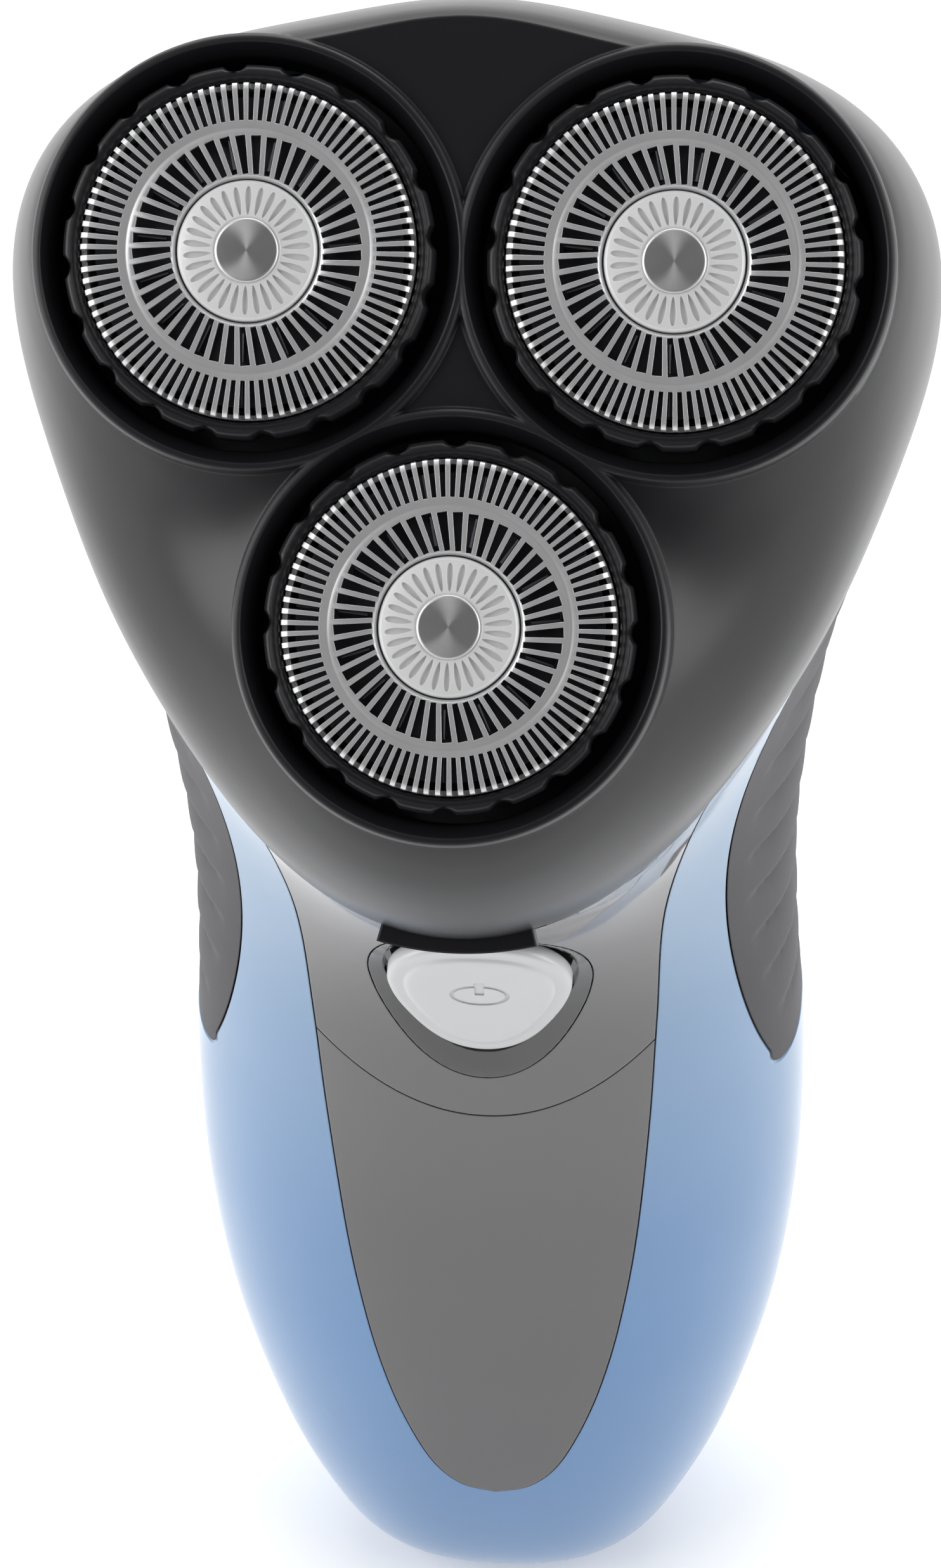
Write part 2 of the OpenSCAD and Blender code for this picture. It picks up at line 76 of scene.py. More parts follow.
# half width and half depth of the head outline, and the shift that centres it
EGG_W, EGG_D, EGG_SHIFT = 33.17, 33.53, 5.38
# beyond the object on every side
FAR = 60
RING_N = 288
STEPS = 12
# points round a small outline
FINE = 144

# front y, front z, back y, back z, half width, roundness towards the head outline
SECTIONS = np.array([
    [-9.6, 0, 10.9, 0, 11.2, 0], [-13.2, 1, 12.8, 1.2, 12.9, 0], [-16.2, 3.4, 14, 4, 14.8, 0],
    [-17.9, 8, 15.1, 9, 17, 0], [-18, 16, 16.5, 18, 20.3, 0], [-16.7, 28, 17.8, 30, 23.4, 0],
    [-14.9, 40, 18.6, 43, 24.9, 0], [-13.3, 52, 19.1, 56, 25.1, 0], [-12.7, 64, 19.7, 70, 24.4, 0],
    [-12.9, 75, 20.4, 84, 24.1, 0.05], [-14.6, 84, 21.6, 98, 24.8, 0.15], [-17.6, 91, 23.2, 111, 26.3, 0.35],
    [-21.4, 96, 24.2, 122, 28.2, 0.6], [-25.2, 99.4, 24, 134, 30.8, 0.85], [-27.7, 101, 21.4, 146.9, 33, 1],
    [-29.1, 102.2, 19.3, 149.1, 33, 1]])
# head cover: depth below the guards, shrink of the outline, further shrink between the shaving heads
LEVELS = np.array([[-21, 0, 0], [-17, 0.2, 0], [-13, 0.8, 0.3], [-9.5, 1.8, 1.2], [-6.5, 3, 3.2],
                   [-4.2, 4.3, 6], [-2.8, 5.4, 9], [-2, 6.4, 12]])
# front view: right side of the gloss panel, from its tip up
PANEL = np.array([[0, 17], [2.9, 17.8], [5.2, 20.1], [7.2, 24.3], [9, 29.8], [10.6, 37], [12, 47], [13, 60],
                  [13.6, 73], [14.3, 88], [17, 104], [18.6, 112]])


# ---- forms ----
def catmull(rows, steps):
    """Smooth curve through rows, with steps points from each row to the next."""
    pad = np.vstack([rows[0], rows, rows[-1]])
    out = []
    for i in range(len(rows) - 1):
        a, b, c, d = pad[i:i + 4]
        for t in np.arange(steps) / steps:
            out.append(0.5 * (2 * b + (c - a) * t + (2 * a - 5 * b + 4 * c - d) * t ** 2
                              + (3 * b - a - 3 * c + d) * t ** 3))
    return np.array(out + [rows[-1]])


def egg(p):
    """Radius of the head unit's outline at angle p (radians)."""
    return (32.38 - 2.18 * np.sin(p) - 0.3 * np.cos(2 * p) + 3.41 * np.sin(3 * p) + 0.31 * np.cos(4 * p)
            + 0.21 * np.sin(5 * p) - 0.54 * np.cos(6 * p))


def power(v, e):
    """v to the power e, keeping its sign."""
    return np.sign(v) * np.abs(v) ** e


def handle_rings(inset, steps, count, relief=None):
    """Rings of points up the handle, inset from its skin.
    relief(points) adds a further inset at each point."""
    p = np.linspace(0, 2 * np.pi, count, endpoint=False)
    rings = []
    for s in catmull(SECTIONS, steps):
        f, b, blend = s[0:2], s[2:4], min(max(s[5], 0), 1)
        half = np.linalg.norm(b - f) / 2
        e, c = (b - f) / (2 * half), (f + b) / 2
        x = (1 - blend) * power(np.cos(p), 0.8) + blend * egg(p) * np.cos(p) / EGG_W
        v = (1 - blend) * power(np.sin(p), 0.8) + blend * (egg(p) * np.sin(p) + EGG_SHIFT) / EGG_D

        def at(o):
            return np.stack([(s[4] - o) * x, c[0] + (half - o) * v * e[0], c[1] + (half - o) * v * e[1]], 1)
        rings.append(at(inset) if relief is None else at(inset + relief(at(0.0))))
    return np.array(rings)


def head_rings(inset, steps, count):
    """Rings of points up the head cover, inset from its skin."""
    p = np.linspace(0, 2 * np.pi, count, endpoint=False)
    rings = []
    for n, shrink, dip in catmull(LEVELS, steps):
        r = (egg(p) - inset - shrink * (0.5 + 0.75 * ((1 - np.sin(p)) / 2) ** 1.5)
             - dip * ((1 + np.cos(3 * p - 1.5 * np.pi)) / 2) ** 2 * (1 - np.sin(p)) / 1.5)
        depth = n - inset * 0.8 if n > PART_N + 0.01 else n - (0.5 if inset > 0 else 0)
        rings.append(np.stack([r * np.cos(p), r * np.sin(p), np.full(count, depth)], 1))
    return np.array(rings)


# ---- meshes ----
def new_object(name, verts, faces, world=None):
    mesh = bpy.data.meshes.new(name)
    mesh.from_pydata([tuple(v) for v in np.asarray(verts, float) * MM], [], faces)
    bm = bmesh.new()
    bm.from_mesh(mesh)
    bmesh.ops.recalc_face_normals(bm, faces=bm.faces)
    bm.to_mesh(mesh)
    bm.free()
    if world is not None:
        mesh.transform(world)
    ob = bpy.data.objects.new(name, mesh)
    bpy.context.scene.collection.objects.link(ob)
    return ob


def loft(name, rings, world=None):
    """Closed solid through rings of points, with a fan at each end."""
    m, n = rings.shape[:2]
    verts = np.vstack([rings.reshape(-1, 3), rings[0].mean(0), rings[-1].mean(0)])
    faces = []
    for i in range(m - 1):
        a, b = i * n, (i + 1) * n
        faces += [(a + j, a + (j + 1) % n, b + (j + 1) % n, b + j) for j in range(n)]
    faces += [(m * n, (j + 1) % n, j) for j in range(n)]
    faces += [(m * n + 1, (m - 1) * n + j, (m - 1) * n + (j + 1) % n) for j in range(n)]
    return new_object(name, verts, faces, world)


def lathe(name, profile, count=128, world=None, wave=None):
    """Closed solid of revolution.
    profile is a closed loop of (radius, height) off the axis, or runs from axis to axis."""
    prof = np.array(profile, float)
    open_ended = prof[0][0] < 1e-6 and prof[-1][0] < 1e-6
    p = np.linspace(0, 2 * np.pi, count, endpoint=False)
    body = prof[1:-1] if open_ended else prof
    rings = []
    for r, z in body:
        rr = np.full(count, r) if wave is None else wave(r, z, p)
        rings.append(np.stack([rr * np.cos(p), rr * np.sin(p), np.full(count, z)], 1))
    m = len(rings)
    verts = list(np.array(rings).reshape(-1, 3))
    faces = []
    last = m - 1 if open_ended else m
    for i in range(last):
        a, b = i * count, ((i + 1) % m) * count
        faces += [(a + j, a + (j + 1) % count, b + (j + 1) % count, b + j) for j in range(count)]
    if open_ended:
        verts += [np.array([0, 0, prof[0][1]]), np.array([0, 0, prof[-1][1]])]
        faces += [(m * count, (j + 1) % count, j) for j in range(count)]
        faces += [(m * count + 1, last * count + j, last * count + (j + 1) % count) for j in range(count)]
    return new_object(name, verts, faces, world)


def prism(name, outline, low, high, world=None):
    """Outline (x, y) pushed from z = low to z = high."""
    o = np.array(outline, float)
    n = len(o)
    verts = np.vstack([np.c_[o, np.full(n, low)], np.c_[o, np.full(n, high)]])
    faces = [tuple(range(n - 1, -1, -1)), tuple(range(n, 2 * n))]
    faces += [(j, (j + 1) % n, n + (j + 1) % n, n + j) for j in range(n)]
    return new_object(name, verts, faces, world)


def block(name, low, high, world=None):
    (x0, y0, z0), (x1, y1, z1) = low, high
    return prism(name, [(x0, y0), (x1, y0), (x1, y1), (x0, y1)], z0, z1, world)


def merge(name, parts):
    """One object from several that don't overlap."""
    bm = bmesh.new()
    for ob in parts:
        bm.from_mesh(ob.data)
    mesh = bpy.data.meshes.new(name)
    bm.to_mesh(mesh)
    bm.free()
    for ob in parts:
        bpy.data.objects.remove(ob)
    ob = bpy.data.objects.new(name, mesh)
    bpy.context.scene.collection.objects.link(ob)
    return ob


def carve(ob, steps):
    """Applies (operation, tool) steps to ob with exact manifold booleans and drops the tools."""
    for operation, tool in steps:
        mod = ob.modifiers.new("carve", "BOOLEAN")
        mod.solver, mod.operation, mod.object = "MANIFOLD", operation, tool
    bpy.context.view_layer.update()
    dg = bpy.context.evaluated_depsgraph_get()
    mesh = bpy.data.meshes.new_from_object(ob.evaluated_get(dg))
    ob.modifiers.clear()
    ob.data = mesh
    for _, tool in steps:
        bpy.data.objects.remove(tool)
    return ob


def soften(ob, angle=32):
    """Smooth shading with sharp edges above an angle."""
    me = ob.data
    me.shade_smooth()
    me.set_sharp_from_angle(angle=math.radians(angle))


def move(x, y, z):
    return Matrix.Translation(Vector((x, y, z)) * MM)


def turn(degrees, axis):
    return Matrix.Rotation(math.radians(degrees), 4, axis)


HEAD = move(0, HEAD_Y, HEAD_Z) @ turn(HEAD_LEAN, "X")
HINGE = move(0, HINGE_U, HINGE_N) @ turn(90, "Y")
BUTTON = move(0, BUTTON_Y, BUTTON_Z) @ turn(90 + BUTTON_LEAN, "X")
FRONT_VIEW = turn(90, "X")


def head_spot(i):
    """Axis of shaving head i, in the head unit's own frame."""
    return turn(HEAD_ANGLES[i], "Z") @ move(HEAD_RADIUS, 0, 0)


# ---- materials ----
def material(name, color, rough, metal=0.0, coat=0.0, coat_rough=0.05, grain=0.0, grain_scale=900.0,
             tone=0.0, tone_scale=60.0, edge=0.0, facing=None, spec=0.5, aniso=0.0, rough_var=0.0, fade=None):
    """Principled finish with procedural tone, grain and rounded edges.
    facing is a lighter colour seen at a slant, a painted sheen; fade a colour that takes over towards the
    head."""
    m = bpy.data.materials.new(name)
    m.use_nodes = True
    nt = m.node_tree
    b = nt.nodes["Principled BSDF"]
    b.inputs["Roughness"].default_value = rough
    b.inputs["Metallic"].default_value = metal
    b.inputs["Coat Weight"].default_value = coat
    b.inputs["Coat Roughness"].default_value = coat_rough
    b.inputs["Specular IOR Level"].default_value = spec
    b.inputs["Base Color"].default_value = (*color, 1)
    place = nt.nodes.new("ShaderNodeTexCoord")
    base = None
    # painted sheen: at a slant the base colour turns to the lighter facing colour
    if facing is not None:
        look = nt.nodes.new("ShaderNodeLayerWeight")
        look.inputs["Blend"].default_value = 0.45
        blend = nt.nodes.new("ShaderNodeMix")
        blend.data_type = "RGBA"
        blend.inputs[6].default_value = (*color, 1)
        blend.inputs[7].default_value = (*facing, 1)
        nt.links.new(look.outputs["Facing"], blend.inputs[0])
        base = blend.outputs[2]
        if fade is not None:
            part = nt.nodes.new("ShaderNodeSeparateXYZ")
            nt.links.new(place.outputs["Object"], part.inputs["Vector"])
            rise = nt.nodes.new("ShaderNodeMapRange")
            rise.interpolation_type = "SMOOTHSTEP"
            rise.inputs["From Min"].default_value = 30 * MM
            rise.inputs["From Max"].default_value = 100 * MM
            nt.links.new(part.outputs["Z"], rise.inputs["Value"])
            over = nt.nodes.new("ShaderNodeMix")
            over.data_type = "RGBA"
            over.inputs[7].default_value = (*fade, 1)
            nt.links.new(rise.outputs["Result"], over.inputs[0])
            nt.links.new(base, over.inputs[6])
            base = over.outputs[2]
    if tone > 0:
        cloud = nt.nodes.new("ShaderNodeTexNoise")
        cloud.inputs["Scale"].default_value = tone_scale
        cloud.inputs["Detail"].default_value = 4
        nt.links.new(place.outputs["Object"], cloud.inputs["Vector"])
        ramp = nt.nodes.new("ShaderNodeMapRange")
        ramp.inputs["To Min"].default_value = 1 - tone
        ramp.inputs["To Max"].default_value = 1 + tone
        nt.links.new(cloud.outputs["Fac"], ramp.inputs["Value"])
        scale = nt.nodes.new("ShaderNodeVectorMath")
        scale.operation = "SCALE"
        scale.inputs[0].default_value = color
        if base is not None:
            nt.links.new(base, scale.inputs[0])
        nt.links.new(ramp.outputs["Result"], scale.inputs["Scale"])
        base = scale.outputs["Vector"]
        if rough_var > 0:
            vary = nt.nodes.new("ShaderNodeMapRange")
            vary.inputs["To Min"].default_value = rough - rough_var
            vary.inputs["To Max"].default_value = rough + rough_var
            nt.links.new(cloud.outputs["Fac"], vary.inputs["Value"])
            nt.links.new(vary.outputs["Result"], b.inputs["Roughness"])
    if base is not None:
        nt.links.new(base, b.inputs["Base Color"])
    normal = None
    if edge > 0:
        bevel = nt.nodes.new("ShaderNodeBevel")
        bevel.samples = 4
        bevel.inputs["Radius"].default_value = edge * MM
        normal = bevel.outputs["Normal"]
    if grain > 0:
        fine = nt.nodes.new("ShaderNodeTexNoise")
        fine.inputs["Scale"].default_value = grain_scale
        fine.inputs["Detail"].default_value = 2
        nt.links.new(place.outputs["Object"], fine.inputs["Vector"])
        bump = nt.nodes.new("ShaderNodeBump")
        bump.inputs["Strength"].default_value = grain
        bump.inputs["Distance"].default_value = 0.05 * MM
        nt.links.new(fine.outputs["Fac"], bump.inputs["Height"])
        if normal is not None:
            nt.links.new(normal, bump.inputs["Normal"])
        normal = bump.outputs["Normal"]
    if normal is not None:
        nt.links.new(normal, b.inputs["Normal"])
    b.inputs["Anisotropic"].default_value = aniso
    if aniso > 0:
        tangent = nt.nodes.new("ShaderNodeTangent")
        tangent.direction_type = "RADIAL"
        tangent.axis = "Z"
        nt.links.new(tangent.outputs["Tangent"], b.inputs["Tangent"])
    return m


MATERIALS = {
    # pearl_blue's facing colour is a painted sheen that lightens the blue at a slant
    "pearl_blue": material("pearl_blue", (0.075, 0.20, 0.43), 0.30, metal=0.35, coat=0.5, coat_rough=0.12,
                           grain=0.10, grain_scale=2600, tone=0.05, edge=0.2, facing=(0.28, 0.39, 0.55),
                           fade=(0.24, 0.345, 0.48)),
    "panel_gloss": material("panel_gloss", (0.075, 0.07, 0.073), 0.10, coat=1.0, coat_rough=0.03, tone=0.06,
                            edge=0.2),
    "grip_rubber": material("grip_rubber", (0.072, 0.069, 0.075), 0.6, grain=0.35, grain_scale=1800,
                            tone=0.08, edge=0.15, spec=0.35),
    "bezel_gloss": material("bezel_gloss", (0.02, 0.02, 0.022), 0.08, coat=1.0, tone=0.05, edge=0.15),
    "head_black": material("head_black", (0.011, 0.011, 0.013), 0.30, spec=0.5, grain=0.06, grain_scale=1500,
                           tone=0.06, edge=0.25, rough_var=0.02),
    "button_silver": material("button_silver", (0.58, 0.585, 0.59), 0.4, metal=0.2, grain=0.12,
                              grain_scale=3000, tone=0.03, edge=0.2),
    "guard_steel": material("guard_steel", (0.68, 0.68, 0.69), 0.24, metal=0.6, tone=0.04, tone_scale=400,
                            edge=0.05, rough_var=0.04),
    "cap_steel": material("cap_steel", (0.82, 0.82, 0.82), 0.32, metal=0.3, tone=0.05, tone_scale=500,
                          edge=0.04),
    "disc_steel": material("disc_steel", (0.55, 0.55, 0.56), 0.30, metal=0.85, tone=0.12, tone_scale=700,
                           aniso=0.9),
    # cutter_steel is painted shade: its base colour is far darker than bare steel, so the cutters seen
    # through the guard's slots read as black gaps
    "cutter_steel": material("cutter_steel", (0.10, 0.10, 0.11), 0.35, metal=1.0, tone=0.1, tone_scale=300,
                             edge=0.04),
    "black_plastic": material("black_plastic", (0.012, 0.012, 0.013), 0.42, grain=0.1, tone=0.06, edge=0.15),
    "inner_plastic": material("inner_plastic", (0.05, 0.052, 0.06), 0.5, grain=0.15, tone=0.08, edge=0.15),
    "motor_steel": material("motor_steel", (0.6, 0.6, 0.62), 0.28, metal=1.0, grain=0.1, tone=0.05, edge=0.2),
    "white_plastic": material("white_plastic", (0.7, 0.68, 0.63), 0.45, grain=0.1, tone=0.04, edge=0.15),
    "cell_wrap": material("cell_wrap", (0.05, 0.22, 0.12), 0.25, coat=0.4, tone=0.05, edge=0.2),
    "contact_brass": material("contact_brass", (0.72, 0.53, 0.24), 0.25, metal=1.0, tone=0.06, edge=0.1),
    "board_green": material("board_green", (0.02, 0.13, 0.06), 0.3, coat=0.5, tone=0.12,
                            tone_scale=300, edge=0.1),
    "pin_metal": material("pin_metal", (0.66, 0.66, 0.68), 0.2, metal=1.0, tone=0.05, edge=0.1),
    "rotor_copper": material("rotor_copper", (0.62, 0.30, 0.15), 0.3, metal=1.0, grain=0.3, tone=0.1,
                             edge=0.1),
    "gear_nylon": material("gear_nylon", (0.78, 0.75, 0.67), 0.45, grain=0.08, tone=0.04, edge=0.08),
    "frame_grey": material("frame_grey", (0.22, 0.225, 0.24), 0.45, grain=0.12, tone=0.05, edge=0.15),
}


def dress(ob, slot, body, *nodes, look=None, angle=32):
    """Finish, shading and body of a piece that stands for CAD nodes."""
    ob.data.materials.clear()
    ob.data.materials.append(MATERIALS[look or slot])
    soften(ob, angle)
    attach(ob, body)
    if nodes:
        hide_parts(*nodes)
    return ob


# ---- outlines in the front view ----
PANEL_SIDE = catmull(PANEL, 10)


def panel_tool(name, grow):
    side = PANEL_SIDE.copy()
    right = side + np.array([grow, 0])
    right[0] = (0.0, side[0][1] - grow)
    right[:, 0] = np.maximum(right[:, 0], 0)
    left = right[:0:-1] * np.array([-1, 1])
    return prism(name, np.vstack([right, left]), 0, FAR, FRONT_VIEW)


def seam_height(x):
    return SEAM_Z + SEAM_BEND * x * x


def seam_tool(name, shift):
    x = np.linspace(-20, 20, 61)
    above = np.vstack([np.c_[x, seam_height(x) + shift], [[20, 120], [-20, 120]]])
    return prism(name, above, 0, FAR, FRONT_VIEW)


def grip_edge(z):
    return GRIP_X + GRIP_BEND * (z - GRIP_MID) ** 2


def grip_tool(name, side, gap):
    z = np.linspace(62, GRIP_TOP - gap, 80)
    q = np.radians(np.linspace(80, 10, 8))
    tip = np.c_[24.3 + gap - 1.9 * np.sin(q[::-1]), 61.6 + gap - 2.1 * np.cos(q[::-1])]
    pts = np.vstack([tip, np.c_[grip_edge(z) + gap, z], [[50, GRIP_TOP - gap], [50, GRIP_LOW + gap]]])
    pts = pts * np.array([side, 1])
    return prism(name, pts, -FAR, FAR, FRONT_VIEW)


def pick_outline(r, count=96, low=BUTTON_LOW, corner=BUTTON_CORNER):
    """Rounded triangle with its lower half stretched."""
    p = np.linspace(0, 2 * np.pi, count, endpoint=False)
    rr = r * (1 + corner * np.cos(3 * (p + np.pi / 2)))
    return np.c_[rr * np.cos(p), rr * np.sin(p) * np.where(p > np.pi, low, 1.0)]


def bezel_outline(gap, count=96):
    """Outer outline of the ring round the button, grown by gap."""
    return pick_outline(BUTTON_R + BEZEL_W + gap, count, BEZEL_LOW, BEZEL_CORNER)


# ---- handle ----
def rib_relief(points):
    """Rounded ribs: deepest in the valleys between them, and fading out at the grip's edge."""
    t = (points[:, 2] - RIB_SLOPE * points[:, 1] - RIB_START) / RIB_PITCH
    t = t - np.floor(t)
    fall = np.sqrt(np.clip(1 - np.maximum(t - RIB_RISE, 0) ** 2 / 0.72, 0, 1))
    crown = np.minimum(t / RIB_RISE, 1) ** 0.8 * fall
    inside = np.clip((np.abs(points[:, 0]) - grip_edge(points[:, 2]) - 1.6) / 2.0, 0, 1)
    ends = np.clip((points[:, 2] - GRIP_LOW - 3) / 3, 0, 1)
    return 0.05 + RIB_DEEP * (1 - crown) * inside * ends


def egg_outline(scale):
    p = np.linspace(0, 2 * np.pi, FINE, endpoint=False)
    return scale * np.c_[egg(p) * np.cos(p), egg(p) * np.sin(p)]


def stadium(r):
    """Outline of the charging inlet."""
    q = np.linspace(-np.pi / 2, np.pi / 2, 25)
    right = np.c_[(PIN_PITCH - 1) / 2 + r * np.cos(q), INLET_Y + r * np.sin(q)]
    return np.vstack([right, right[::-1] * np.array([-1, 1])])


def make_shell(name, front):
    skin = loft(name, handle_rings(0, STEPS, RING_N))
    steps = [("DIFFERENCE", loft("t_hollow", handle_rings(WALL + INLAY, 3, 64)[4:])),
             ("DIFFERENCE", block("t_top", (-FAR, -FAR, BODY_N), (FAR, FAR, FAR), HEAD)),
             ("DIFFERENCE", block("t_half", (-FAR, SPLIT_Y if front else -FAR, -5),
                                  (FAR, FAR if front else SPLIT_Y, 200))),
             ("DIFFERENCE", lathe("t_groove", [(0, -10.6), (2.7, -10.6), (2.7, 10.6), (0, 10.6)], 48,
                                  HEAD @ HINGE)),
             ("DIFFERENCE", lathe("t_pin", [(0, -15.5), (1.7, -15.5), (1.7, 15.5), (0, 15.5)], 32,
                                  HEAD @ HINGE)),
             ("DIFFERENCE", prism("t_inlet", stadium(INLET_R), -1, 11)),
             ("DIFFERENCE", prism("t_deck", egg_outline(0.9), BODY_N - 1.7, BODY_N + 1, HEAD))]
    for i in range(3):
        room = [(0, GEAR_N - 0.5), (GEAR_R, GEAR_N - 0.5), (GEAR_R, BODY_N), (0, BODY_N)]
        steps.append(("DIFFERENCE", lathe(f"t_gear{i}", room, 96, HEAD @ head_spot(i))))
    for side in (-1, 1):
        bed = grip_tool("t_bed", side, 0.0)
        carve(bed, [("DIFFERENCE", loft("t_in", handle_rings(INLAY, 4, 128)))])
        steps.append(("DIFFERENCE", bed))
    if front:
        bed = panel_tool("t_panel", 0.0)
        carve(bed, [("DIFFERENCE", loft("t_in", handle_rings(INLAY, 4, 128)))])
        steps += [("DIFFERENCE", bed),
                  ("DIFFERENCE", prism("t_button", bezel_outline(0.0), -8, 6, BUTTON))]
    return carve(skin, steps)


dress(make_shell("Handle_front_shell", True), "pearl_blue", "body", "front_shell")
dress(make_shell("Handle_back_shell", False), "pearl_blue", "body", "back_shell")


def make_panel(name, upper):
    ob = loft(name, handle_rings(0, STEPS, RING_N))
    steps = [("INTERSECT", panel_tool("t_panel", -0.12)),
             ("DIFFERENCE", loft("t_in", handle_rings(INLAY - 0.06, 4, 128))),
             ("DIFFERENCE", block("t_top", (-FAR, -FAR, BODY_N - 0.2), (FAR, FAR, FAR), HEAD)),
             ("INTERSECT" if upper else "DIFFERENCE", seam_tool("t_seam", 0.08 if upper else -0.08))]
    if upper:
        steps.append(("DIFFERENCE", prism("t_button", bezel_outline(0.08), -8, 6, BUTTON)))
    return carve(ob, steps)


dress(make_panel("Panel_upper", True), "panel_gloss", "body", "upper_panel")
dress(make_panel("Panel_lower", False), "panel_gloss", "body", "lower_panel")

for side, label in ((-1, "left"), (1, "right")):
    grip = loft(f"Grip_{label}", handle_rings(0, STEPS * 2, RING_N, rib_relief))
    carve(grip, [("INTERSECT", grip_tool("t_zone", side, 0.12)),
                 ("DIFFERENCE", loft("t_in", handle_rings(INLAY - 0.06, 4, 128)))])
    dress(grip, "grip_rubber", "body", f"grip_{label}", angle=60)


# ---- power button, its gloss ring and its raised mark ----
def bezel_dish(points):
    """Sinks the ring's skin towards the button, from a fine raised lip at its outer edge."""
    x, v = points[:, 0], (points[:, 2] - BUTTON_Z) / math.cos(math.radians(BUTTON_LEAN))
    v = np.where(v < 0, v / BEZEL_LOW, v)
    bulge = 1 + BEZEL_CORNER * np.cos(3 * (np.arctan2(v, x) + np.pi / 2))
    t = np.clip((BUTTON_R + BEZEL_W - np.hypot(x, v) / bulge) / BEZEL_W, 0, 1)
    return 0.7 * t ** 1.2 - 0.04


bezel = loft("Button_bezel", handle_rings(0, STEPS * 2, RING_N, bezel_dish))
carve(bezel, [("INTERSECT", prism("t_rim", bezel_outline(-0.04, FINE), -2.6, 10, BUTTON)),
              ("DIFFERENCE", prism("t_well", pick_outline(BUTTON_R + 0.4, FINE), -1.5, 9, BUTTON)),
              ("DIFFERENCE", lathe("t_stem", [(0, -4), (2.5, -4), (2.5, 2), (0, 2)], 48, BUTTON))])
dress(bezel, "bezel_gloss", "body", "button_bezel")


def button_form():
    """Button with a rounded shoulder, a raised inner triangle and a slightly dished top."""
    steps = [(0.0, -0.6, 1.25), (0.0, 0.25, 1.25), (0.10, 0.48, 1.25), (0.30, 0.62, 1.25), (0.6, 0.66, 1.25),
             (1.05, 0.62, 1.27), (1.25, 0.66, 1.28), (1.4, 0.82, 1.29), (1.6, 0.93, 1.3), (1.9, 0.95, 1.3),
             (3.0, 0.93, 1.3), (5.0, 0.9, 1.3)]
    rings = [np.c_[pick_outline(BUTTON_R - o, FINE, low), np.full(FINE, z)] for o, z, low in steps]
    return loft("Power_button", np.array(rings), BUTTON)


def oval_ring(name, a, b, w, low, high):
    """Thin raised oval, the generic power mark."""
    q = np.linspace(0, 2 * np.pi, 72, endpoint=False)
    outer = prism(name, np.c_[a * np.cos(q), b * np.sin(q)], low, high, BUTTON)
    inner = prism("t_in", np.c_[(a - w) * np.cos(q), (b - w) * np.sin(q)], low - 1, high + 1, BUTTON)
    return carve(outer, [("DIFFERENCE", inner)])


button = button_form()
carve(button, [("UNION", lathe("t_post", [(0, -4.3), (2, -4.3), (2, 0), (0, 0)], 48, BUTTON)),
               ("DIFFERENCE", oval_ring("t_oval", 2.3, 1.5, 0.28, 0.8, 2)),
               ("DIFFERENCE", block("t_bar", (-0.35, 0.1, 0.8), (0.35, 1.9, 2), BUTTON))])
dress(button, "button_silver", "button", "power_button")

# ---- head unit ----
def rim_lathe(name, radius, top, low):
    r = radius
    return lathe(name, [(0, low), (r + 0.5, low), (r + 0.1, top - 1.0), (r + 0.03, top - 0.4),
                        (r - 0.15, top - 0.1), (r - 0.45, top), (0, top)], 192)


def make_head():
    head = loft("Head_cover", head_rings(0, 10, RING_N))
    steps = []
    for i in range(3):
        disc = rim_lathe(f"t_rim{i}", RIM_R, -1.4, -9)
        disc.data.transform(head_spot(i))
        steps.append(("UNION", disc))
    hollow = loft("t_hollow", head_rings(1.8, 3, 96))
    keep_walls = []
    for i in range(3):
        wall = lathe(f"t_wall{i}", [(0, -9), (WELL_R + 1, -9), (WELL_R + 1, 1), (0, 1)], 128)
        wall.data.transform(head_spot(i))
        keep_walls.append(("DIFFERENCE", wall))
    carve(hollow, keep_walls)
    steps.append(("DIFFERENCE", hollow))
    for i in range(3):
        side = [(0, -12), (WELL_R, -12), (WELL_R, -3.2), (WELL_R + 0.15, -2.6), (WELL_R + 0.75, -1.75),
                (WELL_R + 0.95, -1.3), (WELL_R + 0.95, 2), (0, 2)]
        bore = lathe(f"t_bore{i}", side, 192)
        bore.data.transform(head_spot(i))
        steps.append(("DIFFERENCE", bore))
    steps.append(("DIFFERENCE", lathe("t_hinge", [(0, -10.2), (2.5, -10.2), (2.5, 10.2), (0, 10.2)], 48,
                                      HINGE)))
    steps.append(("DIFFERENCE", block("t_lip", (-6.4, -42, PART_N - 1), (6.4, -34, PART_N + 3.2))))
    carve(head, steps)
    head.data.transform(HEAD)
    return head


dress(make_head(), "head_black", "head", "head_cover")


def arc_bar(name, r0, r1, half, n0, n1):
    """Bar bent along the front edge of the head."""
    q = np.radians(np.linspace(-half, half, 33) - 90)
    outer = np.c_[r1 * np.cos(q), r1 * np.sin(q) - HEAD_RADIUS]
    inner = np.c_[r0 * np.cos(q[::-1]), r0 * np.sin(q[::-1]) - HEAD_RADIUS]
    return prism(name, np.vstack([outer, inner]), n0, n1)


lip = arc_bar("Head_latch", 17.4, 23.0, 14.5, PART_N + 0.2, PART_N + 2.9)
carve(lip, [("UNION", block("t_tongue", (-2.4, -35.6, PART_N + 0.2), (2.4, -31.6, PART_N + 2.9))),
            ("UNION", block("t_hook", (-2.4, -32.6, PART_N - 1), (2.4, -31.6, PART_N + 1)))])
lip.data.transform(HEAD)
dress(lip, "head_black", "latch", "head_latch")

# ---- shaving heads: each mesh is made once at the origin and placed three times ----
OUTER_SLOTS, INNER_SLOTS, PETALS, NOTCHES, BLADES = 90, 45, 30, 20, 15


